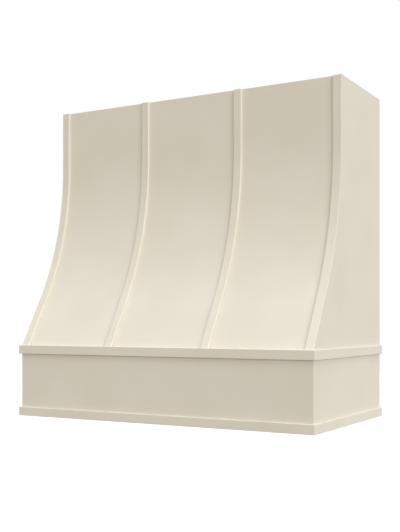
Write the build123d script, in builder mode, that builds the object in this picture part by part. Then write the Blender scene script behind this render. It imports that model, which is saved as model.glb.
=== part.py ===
from build123d import *
import os
from math import cos, radians, sin, tan

# A painted wooden cover for a kitchen extractor, hung on the wall above a cooker.
# An upright front sweeps out in one long bend to a straight flare, which stands on a box apron.
# X runs to the right as seen from the room, the room is towards -Y, the wall is the plane Y = 0,
# and Z = 0 is the underside. The origin is the middle of the lower back rail's bottom edge.

# ---------------------------------------------------------------- driving dimensions, millimetres
WIDTH = 914.4  # over the side panels
HEIGHT = 917.0
TOP_DEPTH = 310.3  # wall to the strap faces, at the top
SWEEP_RADIUS = 802.0  # bend of the strap faces
FLARE_ANGLE = radians(30.4)  # straight flare below the bend, from vertical
FLARE_LENGTH = 156.0  # straight flare, from the bend to the apron
APRON_HEIGHT = 205.2

BOARD = 19.05  # plywood of the panels, rails, ribs and cleats
CORE_SHEET = 6.35  # bending plywood under the face sheet
FACE_SHEET = 3.175  # smooth board that takes the paint
STRAP_WIDTH = 25.4
TRIM_HEIGHT = 25.4
BAND_THICKNESS = 7.0  # straps and apron trim
STRAP_EASE = 2.4  # bevel along a strap's outer edges
FLUSH_EASE = 1.2  # the same where an outer strap is planed flush with the side panel
TRIM_EASE = 1.2  # bevel along the trim's outer edges
TRIM_CORNER_EASE = 2.0  # bevel down the trim's mitred corners
APRON_CORNER_EASE = 0.6  # the same on the apron

LIP = 9.525  # side panel left outside the skins
DADO = 6.35  # depth of the housings for shelf, top panel and ribs
GLUE_LINE = 0.2  # play between bent layers, and at the end of a housed edge
RIB_WIDTH = 63.5
TONGUE_SETBACK = 12.7  # from a rib's front edge to its tongues

HANGING_RAIL_WIDTH = 101.6
LOWER_RAIL_WIDTH = 139.7
CLEAT_WIDTH = 76.2  # along the longer face
CLEAT_END_GAP = 12.7  # from a cleat's end to the side panel
CLEAT_CLEARANCE = 0.4  # hanging rail to wall cleat, and hood cleat to wall
CLEAT_SEAT = 0.4  # upright play between the two bevels

DUCT_DIAMETER = 203.2
DUCT_CLEARANCE = 3.175
SHELF_BORDER = 63.5  # shelf left at the sides and back of its opening
SHELF_LAND = 12.7  # from the ribs' feet to the opening
SHELF_CORNER = 38.1
LEDGE_BASE = 38.1  # underside of the strips that carry the liner
LEDGE_WIDTH = 38.1
CORNER_BLOCK = 38.1

SCREW_SIDES = 8  # screws and their holes are prisms of this many sides
SCREW_RADIUS = 2.1
SCREW_HEAD_RADIUS = 4.1
SCREW_TIP = 5.0
SCREW_FIT = 0.15  # screw to the wall of its hole
LONG_SCREW = 44.45
SHORT_SCREW = 31.75
POCKET_ANGLE = radians(15)
POCKET_RADIUS = 4.76
POCKET_SHOULDER = 20.6  # from the rail's end to the screw head's seat
POCKET_MARGIN = 20.0  # from the rail's long edges
POCKET_HEAD_RADIUS = 4.3
POCKET_HEAD = 2.4
RIB_SCREW_MARGIN = 14.0
TOP_SCREW_PITCH = 190.5
CLEAT_SCREW_PITCH = 174.6
LEDGE_SCREW_PITCH = 240.0
SIDE_SCREW_PITCH = 165.0

STUD_SPACING = 406.4  # wall studs, centre to centre
WALL_SCREW_RADIUS = 3.25
WALL_SCREW_HEAD_RADIUS = 6.5
LOWER_SCREW_HEIGHT = 95.25

# ---------------------------------------------------------------- places worked out from them
SIDE_OUT = WIDTH / 2
SIDE_IN = SIDE_OUT - BOARD
HOUSED_EDGE = SIDE_IN + DADO - GLUE_LINE
BAY = WIDTH / 3  # the straps part the front into three

APRON_FRONT = -(TOP_DEPTH + SWEEP_RADIUS * (1 - cos(FLARE_ANGLE)) + FLARE_LENGTH * sin(FLARE_ANGLE))
APRON_BACK = APRON_FRONT + BOARD
SHELF_BASE = APRON_HEIGHT - BOARD
TOP_BASE = HEIGHT - BOARD
TRIM_OUT = SIDE_OUT + BAND_THICKNESS
TRIM_FRONT = APRON_FRONT - BAND_THICKNESS

# Depths behind the strap faces
FACE_INSET = BAND_THICKNESS + GLUE_LINE
CORE_INSET = FACE_INSET + FACE_SHEET + GLUE_LINE
FRAME_INSET = CORE_INSET + CORE_SHEET + GLUE_LINE
RIB_INSET = FRAME_INSET + RIB_WIDTH
TOP_FRONT = FRAME_INSET - TOP_DEPTH

RAIL_BACK = -(BOARD + CLEAT_CLEARANCE)
RAIL_FRONT = RAIL_BACK - BOARD
RAIL_BASE = TOP_BASE - HANGING_RAIL_WIDTH
CLEAT_LENGTH = 2 * (SIDE_IN - CLEAT_END_GAP)
HOOD_CLEAT_TIP = TOP_BASE - CLEAT_WIDTH
WALL_CLEAT_NOTCH = HOOD_CLEAT_TIP - CLEAT_CLEARANCE - CLEAT_SEAT
WALL_CLEAT_BASE = WALL_CLEAT_NOTCH + BOARD - CLEAT_WIDTH
LEDGE_TOP = LEDGE_BASE + LEDGE_WIDTH

os.makedirs("parts", exist_ok=True)


def flare_y(inset, height):
    """Y of the straight flare at a height, measured inset behind the strap faces."""
    return APRON_FRONT + inset / cos(FLARE_ANGLE) + (height - APRON_HEIGHT) * tan(FLARE_ANGLE)


def sweep_points(inset, top, foot):
    """Top, knee and foot of the front's side profile as (y, z), inset behind the strap faces."""
    upright = inset - TOP_DEPTH
    foot_y = flare_y(inset, foot)
    knee = foot + (upright - foot_y) / tan(FLARE_ANGLE)
    return (upright, top), (upright, knee), (foot_y, foot)


def mitred_board(half, front, thickness, ease):
    """Plan of a board across the front, mitred at both ends, with its outer corners eased."""
    tip = half - ease / 2
    return (
        (-half + ease, front), (half - ease, front), (tip, front + ease / 2),
        (half - thickness, front + thickness), (-half + thickness, front + thickness),
        (-tip, front + ease / 2),
    )


def spread(count, pitch):
    """Places for a row of equal steps, centred on zero."""
    return [(i - (count - 1) / 2) * pitch for i in range(count)]


RIB_TOP_BACK = RIB_INSET - TOP_DEPTH
RIB_FOOT_BACK = flare_y(RIB_INSET, APRON_HEIGHT)
DUCT_Y = (RAIL_FRONT + TOP_FRONT) / 2
OPENING_FRONT = RIB_FOOT_BACK + SHELF_LAND
OPENING_BACK = -SHELF_BORDER
OPENING_WIDTH = 2 * (SIDE_IN - SHELF_BORDER)

# Screw places: a plane on the head's top face, looking back out of the hole
RAIL_MIDDLE = (RAIL_BACK + RAIL_FRONT) / 2
TOP_RAIL_SCREWS = [Plane((x, RAIL_MIDDLE, HEIGHT)) for x in spread(4, TOP_SCREW_PITCH)]
TOP_RIB_YS = (TOP_FRONT + TONGUE_SETBACK + RIB_SCREW_MARGIN, RIB_TOP_BACK - RIB_SCREW_MARGIN)
TOP_RIB_SCREWS = [Plane((x, y, HEIGHT)) for x in (-BAY / 2, BAY / 2) for y in TOP_RIB_YS]
SHELF_RIB_YS = (APRON_BACK + TONGUE_SETBACK + RIB_SCREW_MARGIN, RIB_FOOT_BACK - RIB_SCREW_MARGIN)
SHELF_SCREWS = [
    Plane((x, y, SHELF_BASE), z_dir=(0, 0, -1)) for x in (-BAY / 2, BAY / 2) for y in SHELF_RIB_YS
]
CLEAT_SCREW_HEIGHT = (TOP_BASE + HOOD_CLEAT_TIP + BOARD) / 2
CLEAT_SCREWS = [
    Plane((x, RAIL_FRONT, CLEAT_SCREW_HEIGHT), z_dir=(0, -1, 0)) for x in spread(5, CLEAT_SCREW_PITCH)
]
LEDGE_MIDDLE = (LEDGE_BASE + LEDGE_TOP) / 2
FRONT_LEDGE_SCREWS = [
    Plane((x, APRON_BACK + BOARD, LEDGE_MIDDLE), z_dir=(0, 1, 0)) for x in spread(4, LEDGE_SCREW_PITCH)
]
BACK_LEDGE_SCREWS = [
    Plane((x, -2 * BOARD, LEDGE_MIDDLE), z_dir=(0, -1, 0)) for x in spread(4, LEDGE_SCREW_PITCH)
]
SIDE_LEDGE_SCREWS = [
    Plane((SIDE_IN - BOARD, APRON_BACK / 2 + y, LEDGE_MIDDLE), z_dir=(-1, 0, 0))
    for y in spread(3, SIDE_SCREW_PITCH)
]


def pocket_seats(side, middle, base, top):
    """Seats of the two pocket screws at one end of a rail, on axes that leave through its front face."""
    heading = Vector(-side * cos(POCKET_ANGLE), -sin(POCKET_ANGLE), 0)
    ends = [Vector(side * SIDE_IN, middle, z) for z in (base + POCKET_MARGIN, top - POCKET_MARGIN)]
    return [Plane(end + heading * POCKET_SHOULDER, z_dir=heading) for end in ends]


def both_ends(middle, base, top):
    """Seats of the pocket screws at both ends of a rail."""
    return pocket_seats(1, middle, base, top) + pocket_seats(-1, middle, base, top)


HANGING_POCKETS = both_ends(RAIL_MIDDLE, RAIL_BASE, TOP_BASE)
LOWER_POCKETS = both_ends(-BOARD / 2, 0, LOWER_RAIL_WIDTH)

WALL_SCREW_XS = spread(2, STUD_SPACING)


def wood_screw(length, fit=0):
    """A countersunk screw pointing down from the middle of its head's top face. With fit, its hole."""
    with BuildPart() as screw:
        with BuildSketch():
            RegularPolygon(SCREW_HEAD_RADIUS + fit, SCREW_SIDES, major_radius=False)
        extrude(amount=SCREW_RADIUS - SCREW_HEAD_RADIUS, taper=45)
        with BuildSketch():
            RegularPolygon(SCREW_RADIUS + fit, SCREW_SIDES, major_radius=False)
        extrude(amount=SCREW_TIP - length - fit)
        extrude(screw.faces().sort_by(Axis.Z)[0], amount=SCREW_TIP, taper=20)
    return screw.part


def pocket_screw(length, head=POCKET_HEAD, head_radius=POCKET_HEAD_RADIUS, fit=0):
    """A washer-head screw pointing down from the middle of its head's seat. With fit, its hole."""
    with BuildPart() as screw:
        with BuildSketch():
            RegularPolygon(head_radius, SCREW_SIDES, major_radius=False)
        extrude(amount=head)
        with BuildSketch():
            RegularPolygon(SCREW_RADIUS + fit, SCREW_SIDES, major_radius=False)
        extrude(amount=SCREW_TIP - length - fit)
        extrude(screw.faces().sort_by(Axis.Z)[0], amount=SCREW_TIP, taper=20)
    return screw.part


LONG_HOLE = wood_screw(LONG_SCREW, SCREW_FIT)
SHORT_HOLE = wood_screw(SHORT_SCREW, SCREW_FIT)
POCKET_HOLE = pocket_screw(SHORT_SCREW, BOARD / sin(POCKET_ANGLE), POCKET_RADIUS, SCREW_FIT)

# ---------------------------------------------------------------- carcass
with BuildPart() as side_panel_right:
    with BuildSketch(Plane.YZ.offset(SIDE_IN)):
        with BuildLine():
            edge = FilletPolyline(
                *sweep_points(FACE_INSET, HEIGHT, APRON_HEIGHT), radius=SWEEP_RADIUS + FACE_INSET
            )
            Polyline(
                edge @ 1, (APRON_FRONT, APRON_HEIGHT), (APRON_FRONT, 0), (0, 0), (0, HEIGHT), edge @ 0
            )
        make_face()
    extrude(amount=BOARD)
    # Mitre to the apron front, with its corner eased
    with BuildSketch(Plane.XY):
        Polygon((SIDE_IN, APRON_FRONT), (SIDE_OUT, APRON_FRONT), (SIDE_IN, APRON_BACK), align=None)
        Polygon(
            (SIDE_OUT, APRON_FRONT), (SIDE_OUT, APRON_FRONT + APRON_CORNER_EASE),
            (SIDE_OUT - APRON_CORNER_EASE, APRON_FRONT), align=None,
        )
    extrude(amount=APRON_HEIGHT, mode=Mode.SUBTRACT)
    # Rabbet for the two bent skins, behind a lip that the outer strap covers
    with BuildSketch(Plane.YZ.offset(SIDE_IN)):
        with BuildLine():
            outer = FilletPolyline(
                *sweep_points(FACE_INSET, HEIGHT, APRON_HEIGHT), radius=SWEEP_RADIUS + FACE_INSET
            )
            inner = FilletPolyline(
                *sweep_points(FRAME_INSET, HEIGHT, APRON_HEIGHT), radius=SWEEP_RADIUS + FRAME_INSET
            )
            Line(outer @ 0, inner @ 0)
            Line(outer @ 1, inner @ 1)
        make_face()
    extrude(amount=BOARD - LIP, mode=Mode.SUBTRACT)
    # Housings for the shelf and the top panel
    with BuildSketch(Plane((SIDE_IN, 0, SHELF_BASE))):
        Rectangle(DADO, -APRON_BACK, align=(Align.MIN, Align.MAX))
    extrude(amount=BOARD, mode=Mode.SUBTRACT)
    with BuildSketch(Plane((SIDE_IN, 0, TOP_BASE))):
        Rectangle(DADO, -TOP_FRONT, align=(Align.MIN, Align.MAX))
    extrude(amount=BOARD, mode=Mode.SUBTRACT)
    # Pilot holes
    with Locations(*HANGING_POCKETS[:2], *LOWER_POCKETS[:2]):
        add(POCKET_HOLE, mode=Mode.SUBTRACT)
    with Locations(*SIDE_LEDGE_SCREWS):
        add(SHORT_HOLE, mode=Mode.SUBTRACT)
side_panel_right.part.label = "side_panel_right"
export_step(side_panel_right.part, "parts/side_panel_right.step")

with BuildPart() as side_panel_left:
    mirror(side_panel_right.part, about=Plane.YZ)
side_panel_left.part.label = "side_panel_left"
export_step(side_panel_left.part, "parts/side_panel_left.step")

with BuildPart() as top_panel:
    with BuildSketch(Plane.XY.offset(TOP_BASE)):
        Rectangle(2 * HOUSED_EDGE, -TOP_FRONT, align=(Align.CENTER, Align.MAX))
        with Locations((0, DUCT_Y)):
            Circle(DUCT_DIAMETER / 2 + DUCT_CLEARANCE, mode=Mode.SUBTRACT)
    extrude(amount=BOARD)
    # Housings for the ribs' upper tongues
    with BuildSketch(Plane.XY.offset(TOP_BASE)):
        with Locations(*[(x, TOP_FRONT + TONGUE_SETBACK) for x in (-BAY / 2, BAY / 2)]):
            Rectangle(BOARD, RIB_WIDTH - TONGUE_SETBACK, align=(Align.CENTER, Align.MIN))
    extrude(amount=DADO, mode=Mode.SUBTRACT)
    with Locations(*TOP_RAIL_SCREWS, *TOP_RIB_SCREWS):
        add(LONG_HOLE, mode=Mode.SUBTRACT)
top_panel.part.label = "top_panel"
export_step(top_panel.part, "parts/top_panel.step")

with BuildPart() as shelf_panel:
    with BuildSketch(Plane.XY.offset(SHELF_BASE)):
        Rectangle(2 * HOUSED_EDGE, -APRON_BACK, align=(Align.CENTER, Align.MAX))
        with Locations((0, (OPENING_FRONT + OPENING_BACK) / 2)):
            RectangleRounded(
                OPENING_WIDTH, OPENING_BACK - OPENING_FRONT, SHELF_CORNER, mode=Mode.SUBTRACT
            )
    extrude(amount=BOARD)
    # Housings for the ribs' lower tongues
    with BuildSketch(Plane.XY.offset(APRON_HEIGHT)):
        with Locations(*[(x, APRON_BACK + TONGUE_SETBACK) for x in (-BAY / 2, BAY / 2)]):
            Rectangle(
                BOARD, RIB_FOOT_BACK - APRON_BACK - TONGUE_SETBACK, align=(Align.CENTER, Align.MIN)
            )
    extrude(amount=-DADO, mode=Mode.SUBTRACT)
    with Locations(*SHELF_SCREWS):
        add(LONG_HOLE, mode=Mode.SUBTRACT)
shelf_panel.part.label = "shelf_panel"
export_step(shelf_panel.part, "parts/shelf_panel.step")

with BuildPart() as apron_front:
    with BuildSketch(Plane.XY):
        Polygon(*mitred_board(SIDE_OUT, APRON_FRONT, BOARD, APRON_CORNER_EASE), align=None)
    extrude(amount=APRON_HEIGHT)
    with Locations(*FRONT_LEDGE_SCREWS):
        add(SHORT_HOLE, mode=Mode.SUBTRACT)
apron_front.part.label = "apron_front"
export_step(apron_front.part, "parts/apron_front.step")

for name, x in (("rib_left", -BAY / 2), ("rib_right", BAY / 2)):
    with BuildPart() as rib:
        with BuildSketch(Plane.YZ.offset(x)):
            with BuildLine():
                outer = FilletPolyline(
                    *sweep_points(FRAME_INSET, TOP_BASE, APRON_HEIGHT), radius=SWEEP_RADIUS + FRAME_INSET
                )
                inner = FilletPolyline(
                    *sweep_points(RIB_INSET, TOP_BASE, APRON_HEIGHT), radius=SWEEP_RADIUS + RIB_INSET
                )
                Line(outer @ 0, inner @ 0)
                Line(outer @ 1, inner @ 1)
            make_face()
            # Tongues into the top panel and the shelf
            with Locations((RIB_TOP_BACK, TOP_BASE)):
                Rectangle(RIB_WIDTH - TONGUE_SETBACK, DADO - GLUE_LINE, align=(Align.MAX, Align.MIN))
            with Locations((RIB_FOOT_BACK, APRON_HEIGHT)):
                Rectangle(
                    RIB_FOOT_BACK - APRON_BACK - TONGUE_SETBACK, DADO - GLUE_LINE,
                    align=(Align.MAX, Align.MAX),
                )
        extrude(amount=BOARD / 2, both=True)
        with Locations(*TOP_RIB_SCREWS, *SHELF_SCREWS):
            add(LONG_HOLE, mode=Mode.SUBTRACT)
    rib.part.label = name
    export_step(rib.part, f"parts/{name}.step")

# ---------------------------------------------------------------- bent front
for name, inset, sheet in (
    ("front_core", CORE_INSET, CORE_SHEET),
    ("front_face", FACE_INSET, FACE_SHEET),
):
    with BuildPart() as skin:
        with BuildSketch(Plane.YZ):
            with BuildLine():
                outer = FilletPolyline(
                    *sweep_points(inset, HEIGHT, APRON_HEIGHT), radius=SWEEP_RADIUS + inset
                )
                inner = FilletPolyline(
                    *sweep_points(inset + sheet, HEIGHT, APRON_HEIGHT), radius=SWEEP_RADIUS + inset + sheet
                )
                Line(outer @ 0, inner @ 0)
                Line(outer @ 1, inner @ 1)
            make_face()
        extrude(amount=SIDE_OUT - LIP - GLUE_LINE, both=True)
    skin.part.label = name
    export_step(skin.part, f"parts/{name}.step")

# Straps: a band with eased edges, bent down the sweep and cut level where it stands on the apron
HALF_STRAP = STRAP_WIDTH / 2
for name, x, left_ease, right_ease in (
    ("strap_outer_left", HALF_STRAP - SIDE_OUT, FLUSH_EASE, STRAP_EASE),
    ("strap_inner_left", -BAY / 2, STRAP_EASE, STRAP_EASE),
    ("strap_inner_right", BAY / 2, STRAP_EASE, STRAP_EASE),
    ("strap_outer_right", SIDE_OUT - HALF_STRAP, STRAP_EASE, FLUSH_EASE),
):
    with BuildPart() as strap:
        with BuildLine(Plane.YZ.offset(x)) as run:
            FilletPolyline(*sweep_points(0, HEIGHT, APRON_HEIGHT), radius=SWEEP_RADIUS)
        with BuildSketch(Plane(run.line @ 0, x_dir=(1, 0, 0), z_dir=run.line % 0)):
            Polygon(
                (-HALF_STRAP, -BAND_THICKNESS), (HALF_STRAP, -BAND_THICKNESS),
                (HALF_STRAP, -right_ease), (HALF_STRAP - right_ease, 0),
                (left_ease - HALF_STRAP, 0), (-HALF_STRAP, -left_ease), align=None,
            )
        sweep()
        split(bisect_by=Plane.XY.offset(APRON_HEIGHT), keep=Keep.TOP)
    strap.part.label = name
    export_step(strap.part, f"parts/{name}.step")

# ---------------------------------------------------------------- apron trim, mitred at the front corners
for level, base in (("upper", APRON_HEIGHT - TRIM_HEIGHT), ("lower", 0)):
    with BuildPart() as trim_front:
        with BuildSketch(Plane.XY.offset(base)):
            Polygon(*mitred_board(TRIM_OUT, TRIM_FRONT, BAND_THICKNESS, TRIM_CORNER_EASE), align=None)
        extrude(amount=TRIM_HEIGHT)
        rims = trim_front.edges().filter_by(Plane.XY)
        chamfer(rims.filter_by(lambda rim: rim.center().Y < TRIM_FRONT + TRIM_CORNER_EASE), TRIM_EASE)
    trim_front.part.label = f"trim_{level}_front"
    export_step(trim_front.part, f"parts/trim_{level}_front.step")

    with BuildPart() as trim_right:
        with BuildSketch(Plane.XY.offset(base)):
            Polygon(
                (SIDE_OUT, 0), (SIDE_OUT, APRON_FRONT),
                (TRIM_OUT - TRIM_CORNER_EASE / 2, TRIM_FRONT + TRIM_CORNER_EASE / 2),
                (TRIM_OUT, TRIM_FRONT + TRIM_CORNER_EASE), (TRIM_OUT, 0), align=None,
            )
        extrude(amount=TRIM_HEIGHT)
        rims = trim_right.edges().filter_by(Plane.XY)
        chamfer(rims.filter_by(lambda rim: rim.center().X > TRIM_OUT - TRIM_CORNER_EASE), TRIM_EASE)
    trim_right.part.label = f"trim_{level}_right"
    export_step(trim_right.part, f"parts/trim_{level}_right.step")

    with BuildPart() as trim_left:
        mirror(trim_right.part, about=Plane.YZ)
    trim_left.part.label = f"trim_{level}_left"
    export_step(trim_left.part, f"parts/trim_{level}_left.step")

# ---------------------------------------------------------------- back rails and cleats
with BuildPart() as hanging_rail:
    with BuildSketch(Plane((0, RAIL_BACK, RAIL_BASE))):
        Rectangle(2 * SIDE_IN, BOARD, align=(Align.CENTER, Align.MAX))
    extrude(amount=HANGING_RAIL_WIDTH)
    with Locations(*HANGING_POCKETS):
        add(POCKET_HOLE, mode=Mode.SUBTRACT)
    with Locations(*TOP_RAIL_SCREWS):
        add(LONG_HOLE, mode=Mode.SUBTRACT)
    with Locations(*CLEAT_SCREWS):
        add(SHORT_HOLE, mode=Mode.SUBTRACT)
hanging_rail.part.label = "hanging_rail"
export_step(hanging_rail.part, "parts/hanging_rail.step")

# Two strips bevelled at 45 degrees: the hood's hooks down behind the one screwed to the wall
with BuildPart() as hood_cleat:
    with BuildSketch(Plane.YZ):
        Polygon(
            (-CLEAT_CLEARANCE, TOP_BASE), (RAIL_BACK, TOP_BASE), (RAIL_BACK, HOOD_CLEAT_TIP + BOARD),
            (-CLEAT_CLEARANCE, HOOD_CLEAT_TIP), align=None,
        )
    extrude(amount=CLEAT_LENGTH / 2, both=True)
    with Locations(*CLEAT_SCREWS):
        add(SHORT_HOLE, mode=Mode.SUBTRACT)
hood_cleat.part.label = "hood_cleat"
export_step(hood_cleat.part, "parts/hood_cleat.step")

with BuildPart() as wall_cleat:
    with BuildSketch(Plane.YZ):
        Polygon(
            (0, WALL_CLEAT_NOTCH), (-BOARD, WALL_CLEAT_NOTCH + BOARD), (-BOARD, WALL_CLEAT_BASE),
            (0, WALL_CLEAT_BASE), align=None,
        )
    extrude(amount=CLEAT_LENGTH / 2, both=True)
    WALL_SCREW_HEIGHT = (WALL_CLEAT_BASE + WALL_CLEAT_NOTCH) / 2
    with Locations(*[Plane((x, -BOARD, WALL_SCREW_HEIGHT), z_dir=(0, -1, 0)) for x in WALL_SCREW_XS]):
        CounterSinkHole(WALL_SCREW_RADIUS, WALL_SCREW_HEAD_RADIUS, counter_sink_angle=90)
wall_cleat.part.label = "wall_cleat"
export_step(wall_cleat.part, "parts/wall_cleat.step")

with BuildPart() as lower_back_rail:
    with BuildSketch(Plane.XY):
        Rectangle(2 * SIDE_IN, BOARD, align=(Align.CENTER, Align.MAX))
    extrude(amount=LOWER_RAIL_WIDTH)
    with Locations(*LOWER_POCKETS):
        add(POCKET_HOLE, mode=Mode.SUBTRACT)
    with Locations(*BACK_LEDGE_SCREWS):
        add(SHORT_HOLE, mode=Mode.SUBTRACT)
    with Locations(*[Plane((x, -BOARD, LOWER_SCREW_HEIGHT), z_dir=(0, -1, 0)) for x in WALL_SCREW_XS]):
        CounterSinkHole(WALL_SCREW_RADIUS, WALL_SCREW_HEAD_RADIUS, counter_sink_angle=90)
lower_back_rail.part.label = "lower_back_rail"
export_step(lower_back_rail.part, "parts/lower_back_rail.step")

# ---------------------------------------------------------------- strips for the liner, and glue blocks
for name, back, screws in (
    ("ledge_front", APRON_BACK + BOARD, FRONT_LEDGE_SCREWS),
    ("ledge_back", -BOARD, BACK_LEDGE_SCREWS),
):
    with BuildPart() as ledge:
        with BuildSketch(Plane((0, back, LEDGE_BASE))):
            Rectangle(2 * SIDE_IN, BOARD, align=(Align.CENTER, Align.MAX))
        extrude(amount=LEDGE_WIDTH)
        with Locations(*screws):
            add(SHORT_HOLE, mode=Mode.SUBTRACT)
    ledge.part.label = name
    export_step(ledge.part, f"parts/{name}.step")

with BuildPart() as ledge_right:
    with BuildSketch(Plane((SIDE_IN, -2 * BOARD, LEDGE_BASE))):
        Rectangle(BOARD, -APRON_BACK - 3 * BOARD, align=(Align.MAX, Align.MAX))
    extrude(amount=LEDGE_WIDTH)
    with Locations(*SIDE_LEDGE_SCREWS):
        add(SHORT_HOLE, mode=Mode.SUBTRACT)
ledge_right.part.label = "ledge_right"
export_step(ledge_right.part, "parts/ledge_right.step")

with BuildPart() as ledge_left:
    mirror(ledge_right.part, about=Plane.YZ)
ledge_left.part.label = "ledge_left"
export_step(ledge_left.part, "parts/ledge_left.step")

with BuildPart() as corner_block_right:
    with BuildSketch(Plane.XY.offset(LEDGE_TOP)):
        Polygon(
            (SIDE_IN, APRON_BACK), (SIDE_IN, APRON_BACK + CORNER_BLOCK),
            (SIDE_IN - CORNER_BLOCK, APRON_BACK), align=None,
        )
    extrude(amount=SHELF_BASE - LEDGE_TOP)
corner_block_right.part.label = "corner_block_right"
export_step(corner_block_right.part, "parts/corner_block_right.step")

with BuildPart() as corner_block_left:
    mirror(corner_block_right.part, about=Plane.YZ)
corner_block_left.part.label = "corner_block_left"
export_step(corner_block_left.part, "parts/corner_block_left.step")

# ---------------------------------------------------------------- screws
LEFT_LEDGE_SCREWS = [Plane((-p.origin.X, p.origin.Y, p.origin.Z), z_dir=(1, 0, 0)) for p in SIDE_LEDGE_SCREWS]
for name, screw, places in (
    ("top_panel_screws", wood_screw(LONG_SCREW), TOP_RAIL_SCREWS + TOP_RIB_SCREWS),
    ("shelf_screws", wood_screw(LONG_SCREW), SHELF_SCREWS),
    ("cleat_screws", wood_screw(SHORT_SCREW), CLEAT_SCREWS),
    (
        "ledge_screws",
        wood_screw(SHORT_SCREW),
        FRONT_LEDGE_SCREWS + BACK_LEDGE_SCREWS + SIDE_LEDGE_SCREWS + LEFT_LEDGE_SCREWS,
    ),
    ("pocket_screws", pocket_screw(SHORT_SCREW), HANGING_POCKETS + LOWER_POCKETS),
):
    with BuildPart() as screws:
        with Locations(*places):
            add(screw)
    screws.part.label = name
    export_step(screws.part, f"parts/{name}.step")
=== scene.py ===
from math import cos, pi, radians, sin

import bmesh
import bpy
import numpy as np
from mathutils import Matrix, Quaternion, Vector


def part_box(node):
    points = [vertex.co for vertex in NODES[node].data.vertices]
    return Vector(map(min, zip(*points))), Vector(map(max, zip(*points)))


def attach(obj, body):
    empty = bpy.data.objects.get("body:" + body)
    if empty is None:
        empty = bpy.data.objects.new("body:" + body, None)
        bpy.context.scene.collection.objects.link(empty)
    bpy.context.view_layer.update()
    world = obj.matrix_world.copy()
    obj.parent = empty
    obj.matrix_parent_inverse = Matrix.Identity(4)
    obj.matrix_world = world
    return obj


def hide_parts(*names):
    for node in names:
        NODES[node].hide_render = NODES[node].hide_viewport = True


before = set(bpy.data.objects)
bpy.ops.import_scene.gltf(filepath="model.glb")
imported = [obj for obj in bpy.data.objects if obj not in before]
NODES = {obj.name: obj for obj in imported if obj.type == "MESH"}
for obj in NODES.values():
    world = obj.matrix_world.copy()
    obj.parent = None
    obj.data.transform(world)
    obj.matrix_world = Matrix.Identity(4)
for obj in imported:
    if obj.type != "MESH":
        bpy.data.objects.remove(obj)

# A painted wooden cover for a kitchen extractor, hung on the wall above a cooker.
# X runs to the right as seen from the room, the room is towards -Y, the wall is the plane Y = 0.

bpy.context.view_layer.update()

MM = 0.001

# ---------------------------------------------------------------- sizes of the joinery, metres
HEIGHT = 917.0 * MM
TOP_DEPTH = 310.3 * MM
SWEEP_RADIUS = 802.0 * MM
FLARE_ANGLE = radians(30.4)
FLARE_LENGTH = 156.0 * MM
SIDE_OUT = 457.2 * MM
APRON_HEIGHT = 205.2 * MM
APRON_FRONT = -(TOP_DEPTH + SWEEP_RADIUS * (1 - cos(FLARE_ANGLE)) + FLARE_LENGTH * sin(FLARE_ANGLE))
TRIM_HEIGHT = 25.4 * MM
FACE_INSET = 7.2 * MM  # strap faces to the face sheet
BOARD_PLY = 19.05 * MM / 7  # a veneer of the seven-ply boards
CORE_PLY = 6.35 * MM / 3  # a veneer of the three-ply bending plywood

# ---------------------------------------------------------------- sizes of what is added here
STRAP_BEAD = 1.6 * MM  # legs of the caulk along a strap
BAND_BEAD = 1.6 * MM  # legs of the caulk on top of a trim band, and at a bay's foot
BEAD_ARC = 5  # flats across the hollow of a bead
BEAD_HOLLOW = 0.22  # how near the corner the hollow's control point is, in legs
BEAD_SUNK = 0.1 * MM  # the bead's own corner inside the wood
BEAD_CREASE = radians(40)  # an edge of caulk that turns more than this looks sharp
SWEEP_STATIONS = 44

SCREW_POINTS = 16  # round a screw
SCREW_CREASE = radians(35)
BROKEN_EDGE = 0.15 * MM  # of a head and its recess
DRIVE_HALF = 1.35 * MM  # half the square recess for the driver
DRIVE_FLOOR_HALF = 0.945 * MM
DRIVE_DEPTH = 1.6 * MM
DRIVE_TURN = radians(137.5)  # from one screw to the next, because a driver stops anywhere
FLAT_HEAD_RADIUS = 4.0 * MM
FLAT_HEAD_RIM = 0.2 * MM
FLAT_HEAD_DEPTH = 2.0 * MM
FLAT_HEAD_FILLET = 0.6 * MM
DOME_RADIUS = 3.2 * MM
DOME_TOP_RADIUS = 2.4 * MM
DOME_TOP = 0.02 * MM
DOME_SHOULDER = 0.5 * MM
WASHER_RADIUS = 4.2 * MM
WASHER_THICKNESS = 0.8 * MM
WASHER_BEVEL = 0.1 * MM
WASHER_SEAT = 2.4 * MM  # from the dome's top to the washer's underside
NECK_RADIUS = 1.75 * MM
NECK_LENGTH = 6.0 * MM
THREAD_START = 0.3 * MM  # from the neck to the thread
THREAD_CREST = 2.08 * MM
THREAD_CORE = 1.4 * MM
THREAD_PITCH = 2.4 * MM
THREAD_STEP = 0.6 * MM  # between two rings of points
THREAD_FLANK = 3.2  # how steeply the crest falls to the core, per pitch
TIP_LENGTH = 5.0 * MM
TIP_RADIUS = 0.25 * MM
TIP_END = 0.1 * MM

# ---------------------------------------------------------------- colours
PAINT_FULL = "#F1EAD9"
PAINT_THIN = "#EDE6D3"  # where the last coat went on lighter
# Caulk, painted darker than the lacquer as shade in the corners it fills, in two tones that vary at random
CAULK_SHADE_DEEP = "#DED7C6"
CAULK_SHADE_SOFT = "#E9E2D1"
# An open joint's dark, deepened as painted shade under the upper trim band
JOINT_SHADE_DARK = "#827A66"
# A veneer's pale figure, its dark figure, and its end grain
BIRCH = ("#E2CDA7", "#CDAF81", "#AC8757")
LAUAN = ("#C39A73", "#A1744F", "#86603F")
GLUE_BROWN = "#7A5836"
HARDBOARD_PALE = "#9A7650"
HARDBOARD_DARK = "#7C5C3C"
PINE_PALE = "#E6C793"
PINE_RING = "#C18F52"
ZINC_BRIGHT = "#B7BABD"
ZINC_DULL = "#96978F"
FLOOR_PALE = "#FCFBFA"
FLOOR_SHADE = "#A7A49F"
WHITE = "#FFFFFF"

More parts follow.
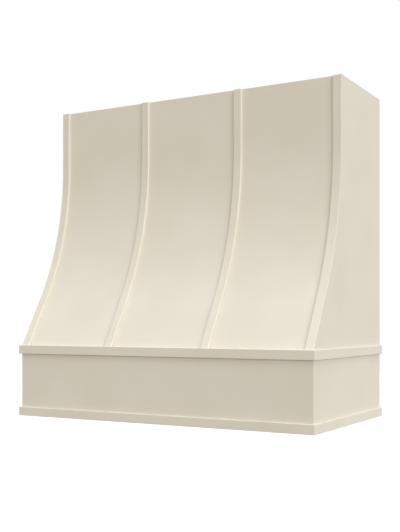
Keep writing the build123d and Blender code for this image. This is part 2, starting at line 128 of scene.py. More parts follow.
# ---------------------------------------------------------------- light and view
WORLD_STRENGTH = 0.352
WORLD_COLOUR = "#FFF7E5"
TOP_STRENGTH = 2.61
TOP_COLOUR = "#EAF0FF"
TOP_FROM = (0.09, -0.05, 1.0)
TOP_SPREAD = radians(70)
SIDE_STRENGTH = 1.012
SIDE_FROM = (0.82, -0.49, 0.30)
SIDE_SPREAD = radians(36)
BACK_STRENGTH = 0.7
BACK_FROM = (-0.75, 0.60, 0.15)
BACK_SPREAD = radians(60)

# The eye is a little above the apron, 30 degrees round to the right
CAMERA_LENS = 59.76
CAMERA_RISE = 0.1036  # the picture's shift, as a share of its longer side
CAMERA_AT = (1.2738, -2.4856, 0.2747)
CAMERA_TURN = radians(29.683)

# The underside hangs 30 in above a 36 in worktop
FLOOR_DEPTH = 1.676
FLOOR_SIDE = 60.0


def linear(hex_colour):
    """An sRGB hex colour as the linear RGBA that sockets take."""
    channels = [int(hex_colour[i:i + 2], 16) / 255 for i in (1, 3, 5)]
    return tuple(c / 12.92 if c <= 0.04045 else ((c + 0.055) / 1.055) ** 2.4 for c in channels) + (1.0,)


def add(tree, kind, inputs=None, **settings):
    """Adds a node with its settings. An input is a value, a hex colour, a socket to link, or a node
    whose first live output is linked."""
    made = tree.nodes.new(kind)
    for key, value in settings.items():
        setattr(made, key, value)
    for key, value in (inputs or {}).items():
        if isinstance(value, bpy.types.Node):
            value = next(socket for socket in value.outputs if socket.enabled)
        if isinstance(value, bpy.types.NodeSocket):
            tree.links.new(value, made.inputs[key])
        elif isinstance(value, str):
            made.inputs[key].default_value = linear(value)
        else:
            made.inputs[key].default_value = value
    return made


# ---------------------------------------------------------------- how a finish is put together
# A look is a colour, a roughness, and how far the surface stands proud in metres.
# The size of its marks is in millimetres, and every other length is in metres.

# Each board is cut this much further along the stock than the last
NEXT_CUT = (0.37, 0.23, 0.31)
# Nearly all of the marks' noise lies between these
NOISE_LOW = 0.3
NOISE_HIGH = 0.7


class Finish:
    """A node material in the making, with where each point of the piece is and which way it faces."""

    def __init__(self, name, cut=0):
        self.material = bpy.data.materials.new(name)
        self.material.use_nodes = True
        self.tree = self.material.node_tree
        self.tree.nodes.clear()
        coords = add(self.tree, "ShaderNodeTexCoord").outputs
        self.at = add(self.tree, "ShaderNodeSeparateXYZ", {0: coords["Object"]}).outputs
        self.facing = add(self.tree, "ShaderNodeSeparateXYZ", {0: coords["Normal"]}).outputs
        shift = tuple(step * cut for step in NEXT_CUT)
        self.stock = add(self.tree, "ShaderNodeVectorMath", {0: coords["Object"], 1: shift}, operation="ADD")


def marks(finish, long, wide=None, grain="X", detail=2.0, low=0.0, high=1.0):
    """Marks in the material, so many millimetres long in the direction of the grain and so many wide,
    as a number from low to high."""
    tree = finish.tree
    lengths = [long if axis == grain else wide or long for axis in "XYZ"]
    scaled = add(tree, "ShaderNodeVectorMath", {
        0: finish.stock, 1: tuple(1 / (length * MM) for length in lengths),
    }, operation="MULTIPLY")
    noise = add(tree, "ShaderNodeTexNoise", {"Vector": scaled, "Scale": 1.0, "Detail": detail})
    return add(tree, "ShaderNodeMapRange", {
        "Value": noise, "From Min": NOISE_LOW, "From Max": NOISE_HIGH, "To Min": low, "To Max": high,
    })


def mixed(finish, mask, under, over):
    """One look over another, where the mask is 1."""
    tree = finish.tree
    colour = add(tree, "ShaderNodeMix", {"Factor": mask, "A": under[0], "B": over[0]}, data_type="RGBA")
    rest = [add(tree, "ShaderNodeMix", {"Factor": mask, "A": a, "B": b}) for a, b in zip(under[1:], over[1:])]
    return colour, *rest


def surface(finish, look, **fixed):
    """Ends the material with a principled surface. fixed are its other inputs."""
    tree = finish.tree
    colour, roughness, relief = look
    bump = add(tree, "ShaderNodeBump", {"Height": relief, "Distance": 1.0, "Strength": 1.0})
    inputs = {"Base Color": colour, "Roughness": roughness, "Normal": bump}
    inputs.update((name.replace("_", " "), value) for name, value in fixed.items())
    shader = add(tree, "ShaderNodeBsdfPrincipled", inputs)
    add(tree, "ShaderNodeOutputMaterial", {"Surface": shader})
    return finish.material


# ---------------------------------------------------------------- paint
CLOUD = 140  # from a full patch of the last coat to a thin one
SHEEN_PATCH = 60
# The peel of sprayed lacquer is about 2 mm across, drawn here three times as coarse so that it shows
PEEL = 6
PEEL_DEPTH = 0.010 * MM
# A trace of the grain that was sanded and primed over
TRACE_LONG, TRACE_WIDE = 220, 5
TRACE_DEPTH = 0.006 * MM

RAGGED_PATCH = 9
RAGGED_PAINT = (0.5 * MM, 2.6 * MM)  # how far the paint runs round a corner
OVERSPRAY_PATCH = 35
OVERSPRAY = (6.5 * MM, 20.0 * MM)  # how far it drifts up inside the bottom
OVERSPRAY_FULL = -6.0 * MM  # from its ragged edge down to where it covers
OVERSPRAY_GONE = 4.0 * MM  # and up to where there is none
TOP_EDGE_ROUND = 0.3 * MM  # the apron's painted top edge reaches this far down
FACING_ROOM = -0.3  # a face that looks at least this much along Y doesn't face the room

# Painted shade: a dark line just under the upper trim band, an open joint drawn wide and dark enough to stand
# for the band's shadow
JOINT_SHADE_SPAN = (1.8 * MM, 0.5 * MM)  # from the upper band's underside to the joint line's foot and top
JOINT_SHADE_SHARE = 0.85
JOINT_SHADE_MARGIN = 0.5 * MM  # how far the line goes on behind the band


def lacquer_look(finish, grain="Z"):
    """Satin cream lacquer, sprayed over sanded primer."""
    tree = finish.tree
    colour = add(tree, "ShaderNodeMix", {
        "Factor": marks(finish, CLOUD), "A": PAINT_THIN, "B": PAINT_FULL,
    }, data_type="RGBA")
    roughness = marks(finish, SHEEN_PATCH, low=0.38, high=0.46)
    peel = marks(finish, PEEL, detail=0.0, high=PEEL_DEPTH)
    trace = marks(finish, TRACE_LONG, TRACE_WIDE, grain, detail=1.0, high=TRACE_DEPTH)
    relief = add(tree, "ShaderNodeMath", {0: peel, 1: trace}, operation="ADD")
    return colour, roughness, relief


def painted_part(finish, behind):
    """1 where a board is painted: its outer face, to which behind is the distance in metres, with a ragged
    millimetre or two round the corner, its underside, and a fading band of overspray inside the bottom."""
    tree = finish.tree
    low, high = RAGGED_PAINT
    ragged = marks(finish, RAGGED_PATCH, low=low, high=high)
    outside = add(tree, "ShaderNodeMath", {0: behind, 1: ragged}, operation="LESS_THAN")
    low, high = OVERSPRAY
    overspray = marks(finish, OVERSPRAY_PATCH, low=low, high=high)
    below = add(tree, "ShaderNodeMath", {0: finish.at["Z"], 1: overspray}, operation="SUBTRACT")
    below = add(tree, "ShaderNodeMapRange", {
        "Value": below, "From Min": OVERSPRAY_FULL, "From Max": OVERSPRAY_GONE, "To Min": 1.0, "To Max": 0.0,
    })
    return add(tree, "ShaderNodeMath", {0: outside, 1: below}, operation="MAXIMUM")


def joint_shade_line(finish, look):
    """Painted shade: the fine open joint under the upper trim band, drawn dark enough to stand for the band's
    shadow.
    """
    tree = finish.tree
    colour, roughness, relief = look
    under_band = APRON_HEIGHT - TRIM_HEIGHT
    foot, top = (under_band - drop for drop in JOINT_SHADE_SPAN)
    line = add(tree, "ShaderNodeMapRange", {
        "Value": finish.at["Z"], "From Min": foot, "From Max": top, "To Min": 0.0, "To Max": JOINT_SHADE_SHARE,
    })
    end = under_band + JOINT_SHADE_MARGIN
    below = add(tree, "ShaderNodeMath", {0: finish.at["Z"], 1: end}, operation="LESS_THAN")
    line = add(tree, "ShaderNodeMath", {0: line, 1: below}, operation="MULTIPLY")
    colour = add(tree, "ShaderNodeMix", {"Factor": line, "A": colour, "B": JOINT_SHADE_DARK}, data_type="RGBA")
    return colour, roughness, relief


# ---------------------------------------------------------------- boards
# Rotary-cut veneer: broad figure that wanders along the grain, with streaks and pores along it
FIGURE_LONG, FIGURE_WIDE = 900, 85
FIGURE_BANDS = 14 * pi
STREAK_LONG, STREAK_WIDE = 70, 2.0
# The pores are 0.1 mm wide, drawn here five times as wide so that they show
PORE_LONG, PORE_WIDE = 14, 0.5
PORE_FLOOR = -2.2  # far below 0, so that pores are few
# How much of the dark colour each of them brings
BASE_SHARE = 0.12
FIGURE_SHARE = 0.20
STREAK_SHARE = 0.45
PORE_SHARE = 0.6
STREAK_DEPTH = 0.04 * MM

END_GRAIN = 0.7  # a face that looks this much along the grain is cut across it
END_SPECKLE = 1.6
FLAT_FACE = 0.5  # a face that looks this much through the plies is veneer
SEAM_EDGE, SEAM_CORE = 0.42, 0.48  # of a ply, from its middle to its line of glue
SEAM_SHARE = 0.75
SANDED_LONG, SANDED_WIDE = 30, 4  # duller and smoother patches along the grain

FIBRE = 3.0
FIBRE_DEPTH = 0.03 * MM

HEART = (-46 * MM, -31 * MM)  # from a strip's middle to the heart of its tree
PINE_WANDER_LONG, PINE_WANDER_WIDE = 260, 30
PINE_WANDER = 5.0 * MM
YEAR = 3.2 * MM  # a year's growth
LATE_WOOD_START = -0.2  # of the year's wave, which runs from -1 to 1
LATE_WOOD = 0.8  # its share of the dark colour at the wave's top
PINE_FIBRE_LONG, PINE_FIBRE_WIDE = 40, 1.5
PINE_FIBRE_SHARE = 0.2
PINE_DEPTH = 0.05 * MM


def ply_look(finish, node, grain, ply, sheet=BOARD_PLY, wood=BIRCH):
    """Raw plywood: veneer on its faces, and on its edges the plies with end grain in every other one."""
    tree = finish.tree
    pale, dark, end = wood

    flow = marks(finish, FIGURE_LONG, FIGURE_WIDE, grain, detail=1.0, high=FIGURE_BANDS)
    wave = add(tree, "ShaderNodeMath", {0: flow}, operation="SINE")
    streaks = marks(finish, STREAK_LONG, STREAK_WIDE, grain, detail=4.0)
    pores = marks(finish, PORE_LONG, PORE_WIDE, grain, detail=0.0, low=PORE_FLOOR)
    share = add(tree, "ShaderNodeMath", {0: wave, 1: FIGURE_SHARE, 2: BASE_SHARE}, operation="MULTIPLY_ADD")
    share = add(tree, "ShaderNodeMath", {
        0: streaks, 1: STREAK_SHARE, 2: share,
    }, operation="MULTIPLY_ADD", use_clamp=True)
    pores = add(tree, "ShaderNodeMath", {0: pores, 1: PORE_SHARE}, operation="MULTIPLY", use_clamp=True)
    share = add(tree, "ShaderNodeMath", {0: share, 1: pores}, operation="MAXIMUM")
    veneer = add(tree, "ShaderNodeMix", {"Factor": share, "A": pale, "B": dark}, data_type="RGBA")

    # which ply a point of the edge is in, counted from the board's lowest face
    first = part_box(node)[0]["XYZ".index(ply)]
    depth = add(tree, "ShaderNodeMath", {0: finish.at[ply], 1: first}, operation="SUBTRACT")
    depth = add(tree, "ShaderNodeMath", {0: depth, 1: sheet}, operation="DIVIDE")
    odd = add(tree, "ShaderNodeMath", {0: depth, 1: 2.0}, operation="FLOORED_MODULO")
    odd = add(tree, "ShaderNodeMath", {0: odd, 1: 1.0}, operation="GREATER_THAN")
    # an edge cut across the grain shows end grain in the even plies, the other edges in the odd ones
    along = add(tree, "ShaderNodeMath", {0: finish.facing[grain]}, operation="ABSOLUTE")
    along = add(tree, "ShaderNodeMath", {0: along, 1: END_GRAIN}, operation="GREATER_THAN")
    cut_across = add(tree, "ShaderNodeMath", {0: along, 1: odd}, operation="SUBTRACT")
    cut_across = add(tree, "ShaderNodeMath", {0: cut_across}, operation="ABSOLUTE")
    speckle = marks(finish, END_SPECKLE, low=0.55, high=1.0)
    cut_across = add(tree, "ShaderNodeMath", {0: cut_across, 1: speckle}, operation="MULTIPLY")
    plies = add(tree, "ShaderNodeMix", {"Factor": cut_across, "A": pale, "B": end}, data_type="RGBA")

    # the line of glue between two plies, a ply being 1 deep
    seam = add(tree, "ShaderNodeMath", {0: depth}, operation="FRACT")
    seam = add(tree, "ShaderNodeMath", {0: seam, 1: 0.5}, operation="SUBTRACT")
    seam = add(tree, "ShaderNodeMath", {0: seam}, operation="ABSOLUTE")
    seam = add(tree, "ShaderNodeMapRange", {
        "Value": seam, "From Min": SEAM_EDGE, "From Max": SEAM_CORE, "To Min": 0.0, "To Max": SEAM_SHARE,
    })
    plies = add(tree, "ShaderNodeMix", {"Factor": seam, "A": plies, "B": GLUE_BROWN}, data_type="RGBA")

    flat = add(tree, "ShaderNodeMath", {0: finish.facing[ply]}, operation="ABSOLUTE")
    flat = add(tree, "ShaderNodeMath", {0: flat, 1: FLAT_FACE}, operation="GREATER_THAN")
    colour = add(tree, "ShaderNodeMix", {"Factor": flat, "A": plies, "B": veneer}, data_type="RGBA")
    roughness = marks(finish, SANDED_LONG, SANDED_WIDE, grain, low=0.60, high=0.72)
    relief = add(tree, "ShaderNodeMath", {0: streaks, 1: STREAK_DEPTH}, operation="MULTIPLY")
    return colour, roughness, relief


def hardboard_look(finish):
    """Pressed fibre board where the paint doesn't reach it."""
    tree = finish.tree
    fibres = marks(finish, FIBRE, detail=4.0)
    colour = add(tree, "ShaderNodeMix", {
        "Factor": fibres, "A": HARDBOARD_DARK, "B": HARDBOARD_PALE,
    }, data_type="RGBA")
    roughness = marks(finish, 12, low=0.55, high=0.68)
    relief = add(tree, "ShaderNodeMath", {0: fibres, 1: FIBRE_DEPTH}, operation="MULTIPLY")
    return colour, roughness, relief


# ---------------------------------------------------------------- the finishes
def sprayed_lacquer(name, cut, grain):
    """Satin lacquer on hardwood stock. It gives the eye an even warm white with a soft, slightly milky
    sheen, and only a trace of peel and grain."""
    finish = Finish(name, cut)
    return surface(finish, lacquer_look(finish, grain))


def painted_caulk():
    """Acrylic caulk wiped into the corners and painted. Its colour is drawn darker than the sprayed wood as
    painted shade in the corners, and it takes the paint unevenly."""
    finish = Finish("painted_caulk")
    tree = finish.tree
    # both tones are darker than the lacquer: painted shade in the corners
    colour = add(tree, "ShaderNodeMix", {
        "Factor": marks(finish, 25, detail=3.0), "A": CAULK_SHADE_DEEP, "B": CAULK_SHADE_SOFT,
    }, data_type="RGBA")
    roughness = marks(finish, 12, low=0.50, high=0.66)
    relief = marks(finish, 4, high=0.03 * MM)
    return surface(finish, (colour, roughness, relief))


def part_painted(node, cut, raw, behind):
    """A board sprayed outside and left raw inside. It gives the eye the same warm white outside, and
    inside the bare board with a ragged edge of paint."""
    finish = Finish("sprayed_" + node, cut)
    mask = painted_part(finish, behind(finish))
    # the lacquer carries the painted shade under the upper trim band
    paint = joint_shade_line(finish, lacquer_look(finish))
    look = mixed(finish, mask, raw(finish), paint)
    return surface(finish, look)


def side_behind(finish):
    """How far a point of a side panel is behind its outer face."""
    out = add(finish.tree, "ShaderNodeMath", {0: finish.at["X"]}, operation="ABSOLUTE")
    return add(finish.tree, "ShaderNodeMath", {0: SIDE_OUT, 1: out}, operation="SUBTRACT")


def apron_behind(finish):
    """How far a point of the apron is behind its face. Its top edge is painted too, so it counts as 0."""
    tree = finish.tree
    top_edge = APRON_HEIGHT - TOP_EDGE_ROUND
    depth = add(tree, "ShaderNodeMath", {0: finish.at["Y"], 1: APRON_FRONT}, operation="SUBTRACT")
    lower = add(tree, "ShaderNodeMath", {0: finish.at["Z"], 1: top_edge}, operation="LESS_THAN")
    return add(tree, "ShaderNodeMath", {0: depth, 1: lower}, operation="MULTIPLY")


def face_behind(finish):
    """How far a point of the face sheet is behind its front: nothing where it faces the room."""
    tree = finish.tree
    depth = add(tree, "ShaderNodeMath", {0: finish.at["Y"], 1: TOP_DEPTH - FACE_INSET}, operation="ADD")
    away = add(tree, "ShaderNodeMath", {0: finish.facing["Y"], 1: FACING_ROOM}, operation="GREATER_THAN")
    return add(tree, "ShaderNodeMath", {0: depth, 1: away}, operation="MULTIPLY")


def raw_plywood(node, cut, grain, ply, name="birch_plywood_", **kind):
    """Sanded plywood with no finish. It gives the eye a dry, pale, lightly figured wood, and striped
    edges."""
    finish = Finish(name + node, cut)
    return surface(finish, ply_look(finish, node, grain, ply, **kind))


def planed_pine(node, cut, grain):
    """Planed softwood with no finish. It gives the eye warm yellow wood with lines of darker late wood,
    which curve on the cut ends."""
    finish = Finish("planed_pine_" + node, cut)
    tree = finish.tree
    low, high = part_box(node)
    middle = [(a + b) / 2 for a, b in zip(low, high)]

    # the distance from the heart of the tree, which runs along the grain
    reach = []
    for axis, off in zip("XYZ".replace(grain, ""), HEART):
        heart = middle["XYZ".index(axis)] + off
        apart = add(tree, "ShaderNodeMath", {0: finish.at[axis], 1: heart}, operation="SUBTRACT")
        reach.append(add(tree, "ShaderNodeMath", {0: apart, 1: 2.0}, operation="POWER"))
    radius = add(tree, "ShaderNodeMath", {0: reach[0], 1: reach[1]}, operation="ADD")
    radius = add(tree, "ShaderNodeMath", {0: radius}, operation="SQRT")
    wander = marks(finish, PINE_WANDER_LONG, PINE_WANDER_WIDE, grain, detail=1.0, high=PINE_WANDER)
    radius = add(tree, "ShaderNodeMath", {0: radius, 1: wander}, operation="ADD")

    rings = add(tree, "ShaderNodeMath", {0: radius, 1: 2 * pi / YEAR}, operation="MULTIPLY")
    rings = add(tree, "ShaderNodeMath", {0: rings}, operation="SINE")
    rings = add(tree, "ShaderNodeMapRange", {
        "Value": rings, "From Min": LATE_WOOD_START, "From Max": 1.0, "To Min": 0.0, "To Max": LATE_WOOD,
    })
    fibres = marks(finish, PINE_FIBRE_LONG, PINE_FIBRE_WIDE, grain)
    share = add(tree, "ShaderNodeMath", {
        0: fibres, 1: PINE_FIBRE_SHARE, 2: rings,
    }, operation="MULTIPLY_ADD", use_clamp=True)
    colour = add(tree, "ShaderNodeMix", {"Factor": share, "A": PINE_PALE, "B": PINE_RING}, data_type="RGBA")
    roughness = marks(finish, SANDED_LONG, SANDED_WIDE, grain, low=0.55, high=0.68)
    relief = add(tree, "ShaderNodeMath", {0: share, 1: PINE_DEPTH}, operation="MULTIPLY")
    return surface(finish, (colour, roughness, relief))


def plated_steel():
    """Zinc plated screws. They give the eye a bright grey metal, a little clouded where it was handled."""
    finish = Finish("zinc_plated_steel")
    tree = finish.tree
    cloud = marks(finish, 4)
    colour = add(tree, "ShaderNodeMix", {"Factor": cloud, "A": ZINC_DULL, "B": ZINC_BRIGHT}, data_type="RGBA")
    roughness = marks(finish, 2.5, low=0.42, high=0.28)
    relief = marks(finish, 0.8, high=0.004 * MM)
    return surface(finish, (colour, roughness, relief), Metallic=1.0)


painted_strip = sprayed_lacquer("sprayed_lacquer_upright", 1, "Z")
painted_band = sprayed_lacquer("sprayed_lacquer_level", 2, "X")
caulk = painted_caulk()
zinc = plated_steel()

# For each board: its cut of the stock, the axis of its grain and, in plywood, the axis through its plies
FINISHES = {
    "side_panel_left": part_painted(
        "side_panel_left", 3, lambda f: ply_look(f, "side_panel_left", "Z", "X"), side_behind),
    "side_panel_right": part_painted(
        "side_panel_right", 4, lambda f: ply_look(f, "side_panel_right", "Z", "X"), side_behind),
    "apron_front": part_painted(
        "apron_front", 5, lambda f: ply_look(f, "apron_front", "X", "Y"), apron_behind),
    "front_face": part_painted("front_face", 6, hardboard_look, face_behind),
    "front_core": raw_plywood("front_core", 7, "X", "Y", "bending_plywood_", sheet=CORE_PLY, wood=LAUAN),
    "top_panel": raw_plywood("top_panel", 8, "X", "Z"),
    "shelf_panel": raw_plywood("shelf_panel", 9, "X", "Z"),
    "rib_left": raw_plywood("rib_left", 10, "Z", "X"),
    "rib_right": raw_plywood("rib_right", 11, "Z", "X"),
    "hanging_rail": raw_plywood("hanging_rail", 12, "X", "Y"),
    "lower_back_rail": raw_plywood("lower_back_rail", 13, "X", "Y"),
    "hood_cleat": raw_plywood("hood_cleat", 14, "X", "Y"),
    "wall_cleat": raw_plywood("wall_cleat", 15, "X", "Y"),
    "ledge_front": planed_pine("ledge_front", 16, "X"),
    "ledge_back": planed_pine("ledge_back", 17, "X"),
    "ledge_left": planed_pine("ledge_left", 18, "Y"),
    "ledge_right": planed_pine("ledge_right", 19, "Y"),
    "corner_block_left": planed_pine("corner_block_left", 20, "Z"),
    "corner_block_right": planed_pine("corner_block_right", 21, "Z"),
}
for name, obj in NODES.items():
    if name.startswith("strap"):
        obj.data.materials[0] = painted_strip
    elif name.startswith("trim"):
        obj.data.materials[0] = painted_band
    elif name in FINISHES:
        obj.data.materials[0] = FINISHES[name]


# ---------------------------------------------------------------- pieces added to the joinery
def new_piece(name, mesh_maker, crease, material):
    """A new rigid piece of the cover, made by bmesh code. It looks smooth where it turns less than
    crease."""
    work = bmesh.new()
    mesh_maker(work)
    bmesh.ops.recalc_face_normals(work, faces=work.faces)
    mesh = bpy.data.meshes.new(name)
    work.to_mesh(mesh)
    work.free()
    mesh.materials.append(material)
    mesh.shade_smooth()
    mesh.set_sharp_from_angle(angle=crease)
    obj = bpy.data.objects.new(name, mesh)
    bpy.context.collection.objects.link(obj)
    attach(obj, "hood")
    return obj


def join_rings(work, rings):
    """A closed skin over rings of points."""
    made = [[work.verts.new(point) for point in ring] for ring in rings]
    count = len(made[0])
    for near, far in zip(made, made[1:]):
        for i in range(count):
            j = (i + 1) % count
            work.faces.new((near[i], near[j], far[j], far[i]))
    work.faces.new(made[0])
    work.faces.new(made[-1])


# ---------------------------------------------------------------- painters' caulk
def bead(name, stations, leg):
    """Caulk wiped hollow into a corner. A station is a point of the corner and the two directions of the
    bead's legs."""
    hollow = []
    for step in range(BEAD_ARC + 1):
        t = step / BEAD_ARC
        side, up = (1 - t) ** 2, t ** 2
        near = 2 * t * (1 - t) * BEAD_HOLLOW
        hollow.append(((side + near) * leg, (up + near) * leg))
    section = [(-BEAD_SUNK, -BEAD_SUNK), (leg, -BEAD_SUNK)] + hollow + [(-BEAD_SUNK, leg)]

    def fill(work):
        join_rings(work, [
            [Vector(corner) + a * Vector(one) + b * Vector(other) for a, b in section]
            for corner, one, other in stations
        ])

    new_piece(name, fill, BEAD_CREASE, caulk)


def sweep_point(travel, inset):
    """A point of the front's profile, inset behind the strap faces, with the direction out of the face.
    travel runs from 0 at the top to 1 at the apron."""
    straight = HEIGHT - APRON_HEIGHT - FLARE_LENGTH * cos(FLARE_ANGLE) - SWEEP_RADIUS * sin(FLARE_ANGLE)
    bend = SWEEP_RADIUS * FLARE_ANGLE
    run = travel * (straight + bend + FLARE_LENGTH)
    angle = min(max((run - straight) / SWEEP_RADIUS, 0.0), FLARE_ANGLE)
    flare = max(run - straight - bend, 0.0)
    y = -TOP_DEPTH - SWEEP_RADIUS * (1 - cos(angle)) - flare * sin(FLARE_ANGLE)
    z = HEIGHT - min(run, straight) - SWEEP_RADIUS * sin(angle) - flare * cos(FLARE_ANGLE)
    out_y, out_z = -cos(angle), sin(angle)
    return (y - inset * out_y, z - inset * out_z), (out_y, out_z)


def strap_bead(name, x, away):
    """Caulk between one edge of a strap and the face sheet, all the way down the sweep."""
    stations = []
    for step in range(SWEEP_STATIONS):
        (y, z), (out_y, out_z) = sweep_point(step / (SWEEP_STATIONS - 1), FACE_INSET)
        corner = (x, y, min(max(z, APRON_HEIGHT), HEIGHT))
        stations.append((corner, (away, 0, 0), (0, out_y, out_z)))
    bead(name, stations, STRAP_BEAD)


for side, away in (("left", 1), ("right", -1)):
    low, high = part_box("strap_outer_" + side)
    strap_bead("caulk_outer_" + side, high.x if side == "left" else low.x, away)
    low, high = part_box("strap_inner_" + side)
    strap_bead(f"caulk_inner_{side}_a", low.x, -1)
    strap_bead(f"caulk_inner_{side}_b", high.x, 1)

UP = (0, 0, 1)
FRONT = (0, -1, 0)
UP_FLARE = (0, sin(FLARE_ANGLE), cos(FLARE_ANGLE))

# The foot of each bay, between two straps
bay_y = APRON_FRONT + FACE_INSET / cos(FLARE_ANGLE)
STRAPS = ("strap_outer_left", "strap_inner_left", "strap_inner_right", "strap_outer_right")
edges = [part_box(name) for name in STRAPS]
for number, (left, right) in enumerate(zip(edges, edges[1:])):
    ends = (left[1].x, right[0].x)
    bead(f"caulk_bay_{number + 1}", [((x, bay_y, APRON_HEIGHT), FRONT, UP_FLARE) for x in ends], BAND_BEAD)

# The tops of the bands: the lower one from wall to wall, the upper one beside the side panels
corners = [(-SIDE_OUT, 0), (-SIDE_OUT, APRON_FRONT), (SIDE_OUT, APRON_FRONT), (SIDE_OUT, 0)]
outward = [(-1, 0, 0), (-1, -1, 0), (1, -1, 0), (1, 0, 0)]
bead("caulk_lower_trim", [
    ((*corner, TRIM_HEIGHT), out, UP) for corner, out in zip(corners, outward)
], BAND_BEAD)
for side, sign in (("left", -1), ("right", 1)):
    bead("caulk_upper_trim_" + side, [
        ((sign * SIDE_OUT, y, APRON_HEIGHT), (sign, 0, 0), UP) for y in (0, APRON_FRONT)
    ], BAND_BEAD)


# ---------------------------------------------------------------- screws, in place of the plain ones
SAME_POINT = 0.001 * MM


def screw_places(node):
    """The middle of each head's top, the direction of its point, and its length, from the plain screws."""
    work = bmesh.new()
    work.from_mesh(NODES[node].data)
    bmesh.ops.remove_doubles(work, verts=work.verts, dist=SAME_POINT)
    work.verts.index_update()
    unseen = set(work.verts)
    places = []
    while unseen:
        # one screw is the points that edges join to the first unseen one
        group = set()
        edge = [min(unseen, key=lambda v: v.index)]
        while edge:
            vert = edge.pop()
            if vert not in group:
                group.add(vert)
                edge.extend(link.other_vert(vert) for link in vert.link_edges)
        unseen -= group
        points = np.array([vert.co[:] for vert in sorted(group, key=lambda v: v.index)])

        # its axis is the way in which the points spread most, and its head is the wider end
        middle = points.mean(axis=0)
        axis = np.linalg.svd(points - middle)[2][0]
        along = (points - middle) @ axis
        across = np.linalg.norm(points - middle - np.outer(along, axis), axis=1)
        if along[across.argmax()] > 0:
            axis, along = -axis, -along
        places.append((Vector(middle + along.min() * axis), Vector(axis), float(np.ptp(along))))
    work.free()
    return places


def around():
    """The angles of the points round a screw."""
    return [2 * pi * (step + 0.5) / SCREW_POINTS for step in range(SCREW_POINTS)]


def square_ring(half, depth):
    """Points of a square, as many as a screw has round it."""
    ring = []
    for angle in around():
        reach = half / max(abs(cos(angle)), abs(sin(angle)))
        ring.append((reach * cos(angle), reach * sin(angle), depth))
    return ring


def round_ring(radius, depth):
    """Points of a circle round the screw's axis."""
    return [(radius * cos(angle), radius * sin(angle), depth) for angle in around()]


def threaded_rings(start, length):
    """The thread from start to the point, as rings whose radius follows the helix."""
    rings = []
    depth = start
    while depth < length - THREAD_STEP / 2:
        taper = min((length - depth) / TIP_LENGTH, 1.0)
        ring = []
        for angle in around():
            off_crest = abs((depth / THREAD_PITCH - angle / (2 * pi)) % 1 - 0.5)
            crest = max(0.0, 1 - THREAD_FLANK * off_crest)
            radius = (THREAD_CORE + (THREAD_CREST - THREAD_CORE) * crest) * taper
            radius = max(radius, TIP_RADIUS)
            ring.append((radius * cos(angle), radius * sin(angle), depth))
        rings.append(ring)
        depth += THREAD_STEP
    return rings + [round_ring(TIP_END, length)]


def screw_rings(length, washer):
    """A screw along its own axis, head first. The drive's floor is the first ring, the point the last."""
    drive = [
        square_ring(DRIVE_FLOOR_HALF, DRIVE_DEPTH),
        square_ring(DRIVE_HALF, BROKEN_EDGE),
        square_ring(DRIVE_HALF + BROKEN_EDGE, 0),
    ]
    if washer:
        seat = WASHER_SEAT
        washer_top = seat - WASHER_THICKNESS
        head = [
            (DOME_TOP_RADIUS, DOME_TOP), (DOME_RADIUS, DOME_SHOULDER), (DOME_RADIUS, washer_top),
            (WASHER_RADIUS, washer_top + WASHER_BEVEL), (WASHER_RADIUS, seat), (NECK_RADIUS, seat),
        ]
    else:
        seat = FLAT_HEAD_DEPTH
        head = [
            (FLAT_HEAD_RADIUS - FLAT_HEAD_RIM, 0), (FLAT_HEAD_RADIUS, BROKEN_EDGE),
            (THREAD_CREST, seat), (NECK_RADIUS, seat + FLAT_HEAD_FILLET),
        ]
    neck_end = seat + NECK_LENGTH
    turned = [round_ring(radius, depth) for radius, depth in head + [(NECK_RADIUS, neck_end)]]
    return drive + turned + threaded_rings(neck_end + THREAD_START, length)


for node in ("top_panel_screws", "shelf_screws", "cleat_screws", "ledge_screws", "pocket_screws"):
    def turn_screws(work):
        for number, (head, axis, length) in enumerate(screw_places(node)):
            upright = axis.to_track_quat("Z", "Y") @ Quaternion((0, 0, 1), number * DRIVE_TURN)
            join_rings(work, [
                [head + upright @ Vector(point) for point in ring]
                for ring in screw_rings(length, node == "pocket_screws")
            ])

    screws = new_piece("turned_" + node, turn_screws, SCREW_CREASE, zinc)
    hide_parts(node)

# ---------------------------------------------------------------- floor, light and camera
half = FLOOR_SIDE / 2
corners = [(-half, -half), (half, -half), (half, half), (-half, half)]
floor_mesh = bpy.data.meshes.new("floor")
floor_mesh.from_pydata([(x, y, -FLOOR_DEPTH) for x, y in corners], [], [(0, 1, 2, 3)])
floor = bpy.data.objects.new("floor", floor_mesh)
bpy.context.collection.objects.link(floor)


def to_the_eye(tree):
    """1 for what the camera, a reflection or glass sees, and 0 for light that falls on the cover."""
    ray = add(tree, "ShaderNodeLightPath").outputs
    seen = add(tree, "ShaderNodeMath", {
        0: ray["Is Camera Ray"], 1: ray["Is Glossy Ray"],
    }, operation="MAXIMUM")
    return add(tree, "ShaderNodeMath", {0: seen, 1: ray["Is Transmission Ray"]}, operation="MAXIMUM")


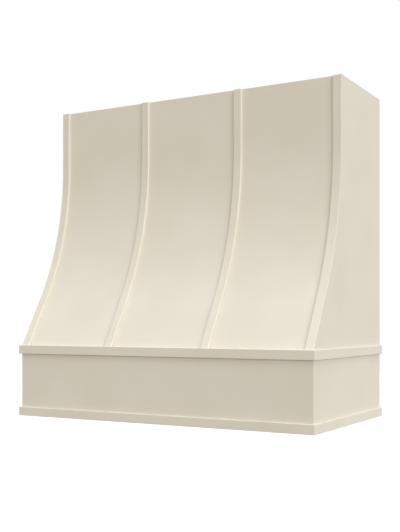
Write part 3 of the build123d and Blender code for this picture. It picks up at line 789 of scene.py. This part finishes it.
# A matt floor that is nearly white to the eye and throws a plain grey light upwards
floor_finish = bpy.data.materials.new("pale_floor")
floor_finish.use_nodes = True
tree = floor_finish.node_tree
tree.nodes.clear()
floor_colour = add(tree, "ShaderNodeMix", {
    "Factor": to_the_eye(tree), "A": FLOOR_SHADE, "B": FLOOR_PALE,
}, data_type="RGBA")
matt = add(tree, "ShaderNodeBsdfDiffuse", {"Color": floor_colour})
add(tree, "ShaderNodeOutputMaterial", {"Surface": matt})
floor_mesh.materials.append(floor_finish)

world = bpy.data.worlds.new("studio")
bpy.context.scene.world = world
world.use_nodes = True
tree = world.node_tree
tree.nodes.clear()
ambient = add(tree, "ShaderNodeBackground", {"Color": WORLD_COLOUR, "Strength": WORLD_STRENGTH})
backdrop = add(tree, "ShaderNodeBackground", {"Color": WHITE, "Strength": 1.0})
sky = add(tree, "ShaderNodeMixShader", {0: to_the_eye(tree), 1: ambient, 2: backdrop})
add(tree, "ShaderNodeOutputWorld", {"Surface": sky})


def lamp(name, strength, colour, source, spread):
    """A soft far lamp that shines from the direction source towards the cover."""
    light = bpy.data.lights.new(name, "SUN")
    light.energy = strength
    light.color = linear(colour)[:3]
    light.angle = spread
    obj = bpy.data.objects.new(name, light)
    obj.rotation_euler = Vector(source).to_track_quat("Z", "Y").to_euler()
    bpy.context.collection.objects.link(obj)


lamp("top_lamp", TOP_STRENGTH, TOP_COLOUR, TOP_FROM, TOP_SPREAD)
lamp("side_lamp", SIDE_STRENGTH, WHITE, SIDE_FROM, SIDE_SPREAD)
lamp("back_lamp", BACK_STRENGTH, WHITE, BACK_FROM, BACK_SPREAD)

bpy.context.scene.view_settings.view_transform = "Standard"

camera_data = bpy.data.cameras.new("camera")
camera_data.lens = CAMERA_LENS
camera_data.shift_y = CAMERA_RISE
camera = bpy.data.objects.new("camera", camera_data)
camera.location = CAMERA_AT
camera.rotation_euler = (radians(90), 0, CAMERA_TURN)
bpy.context.collection.objects.link(camera)
bpy.context.scene.camera = camera

bpy.context.view_layer.update()
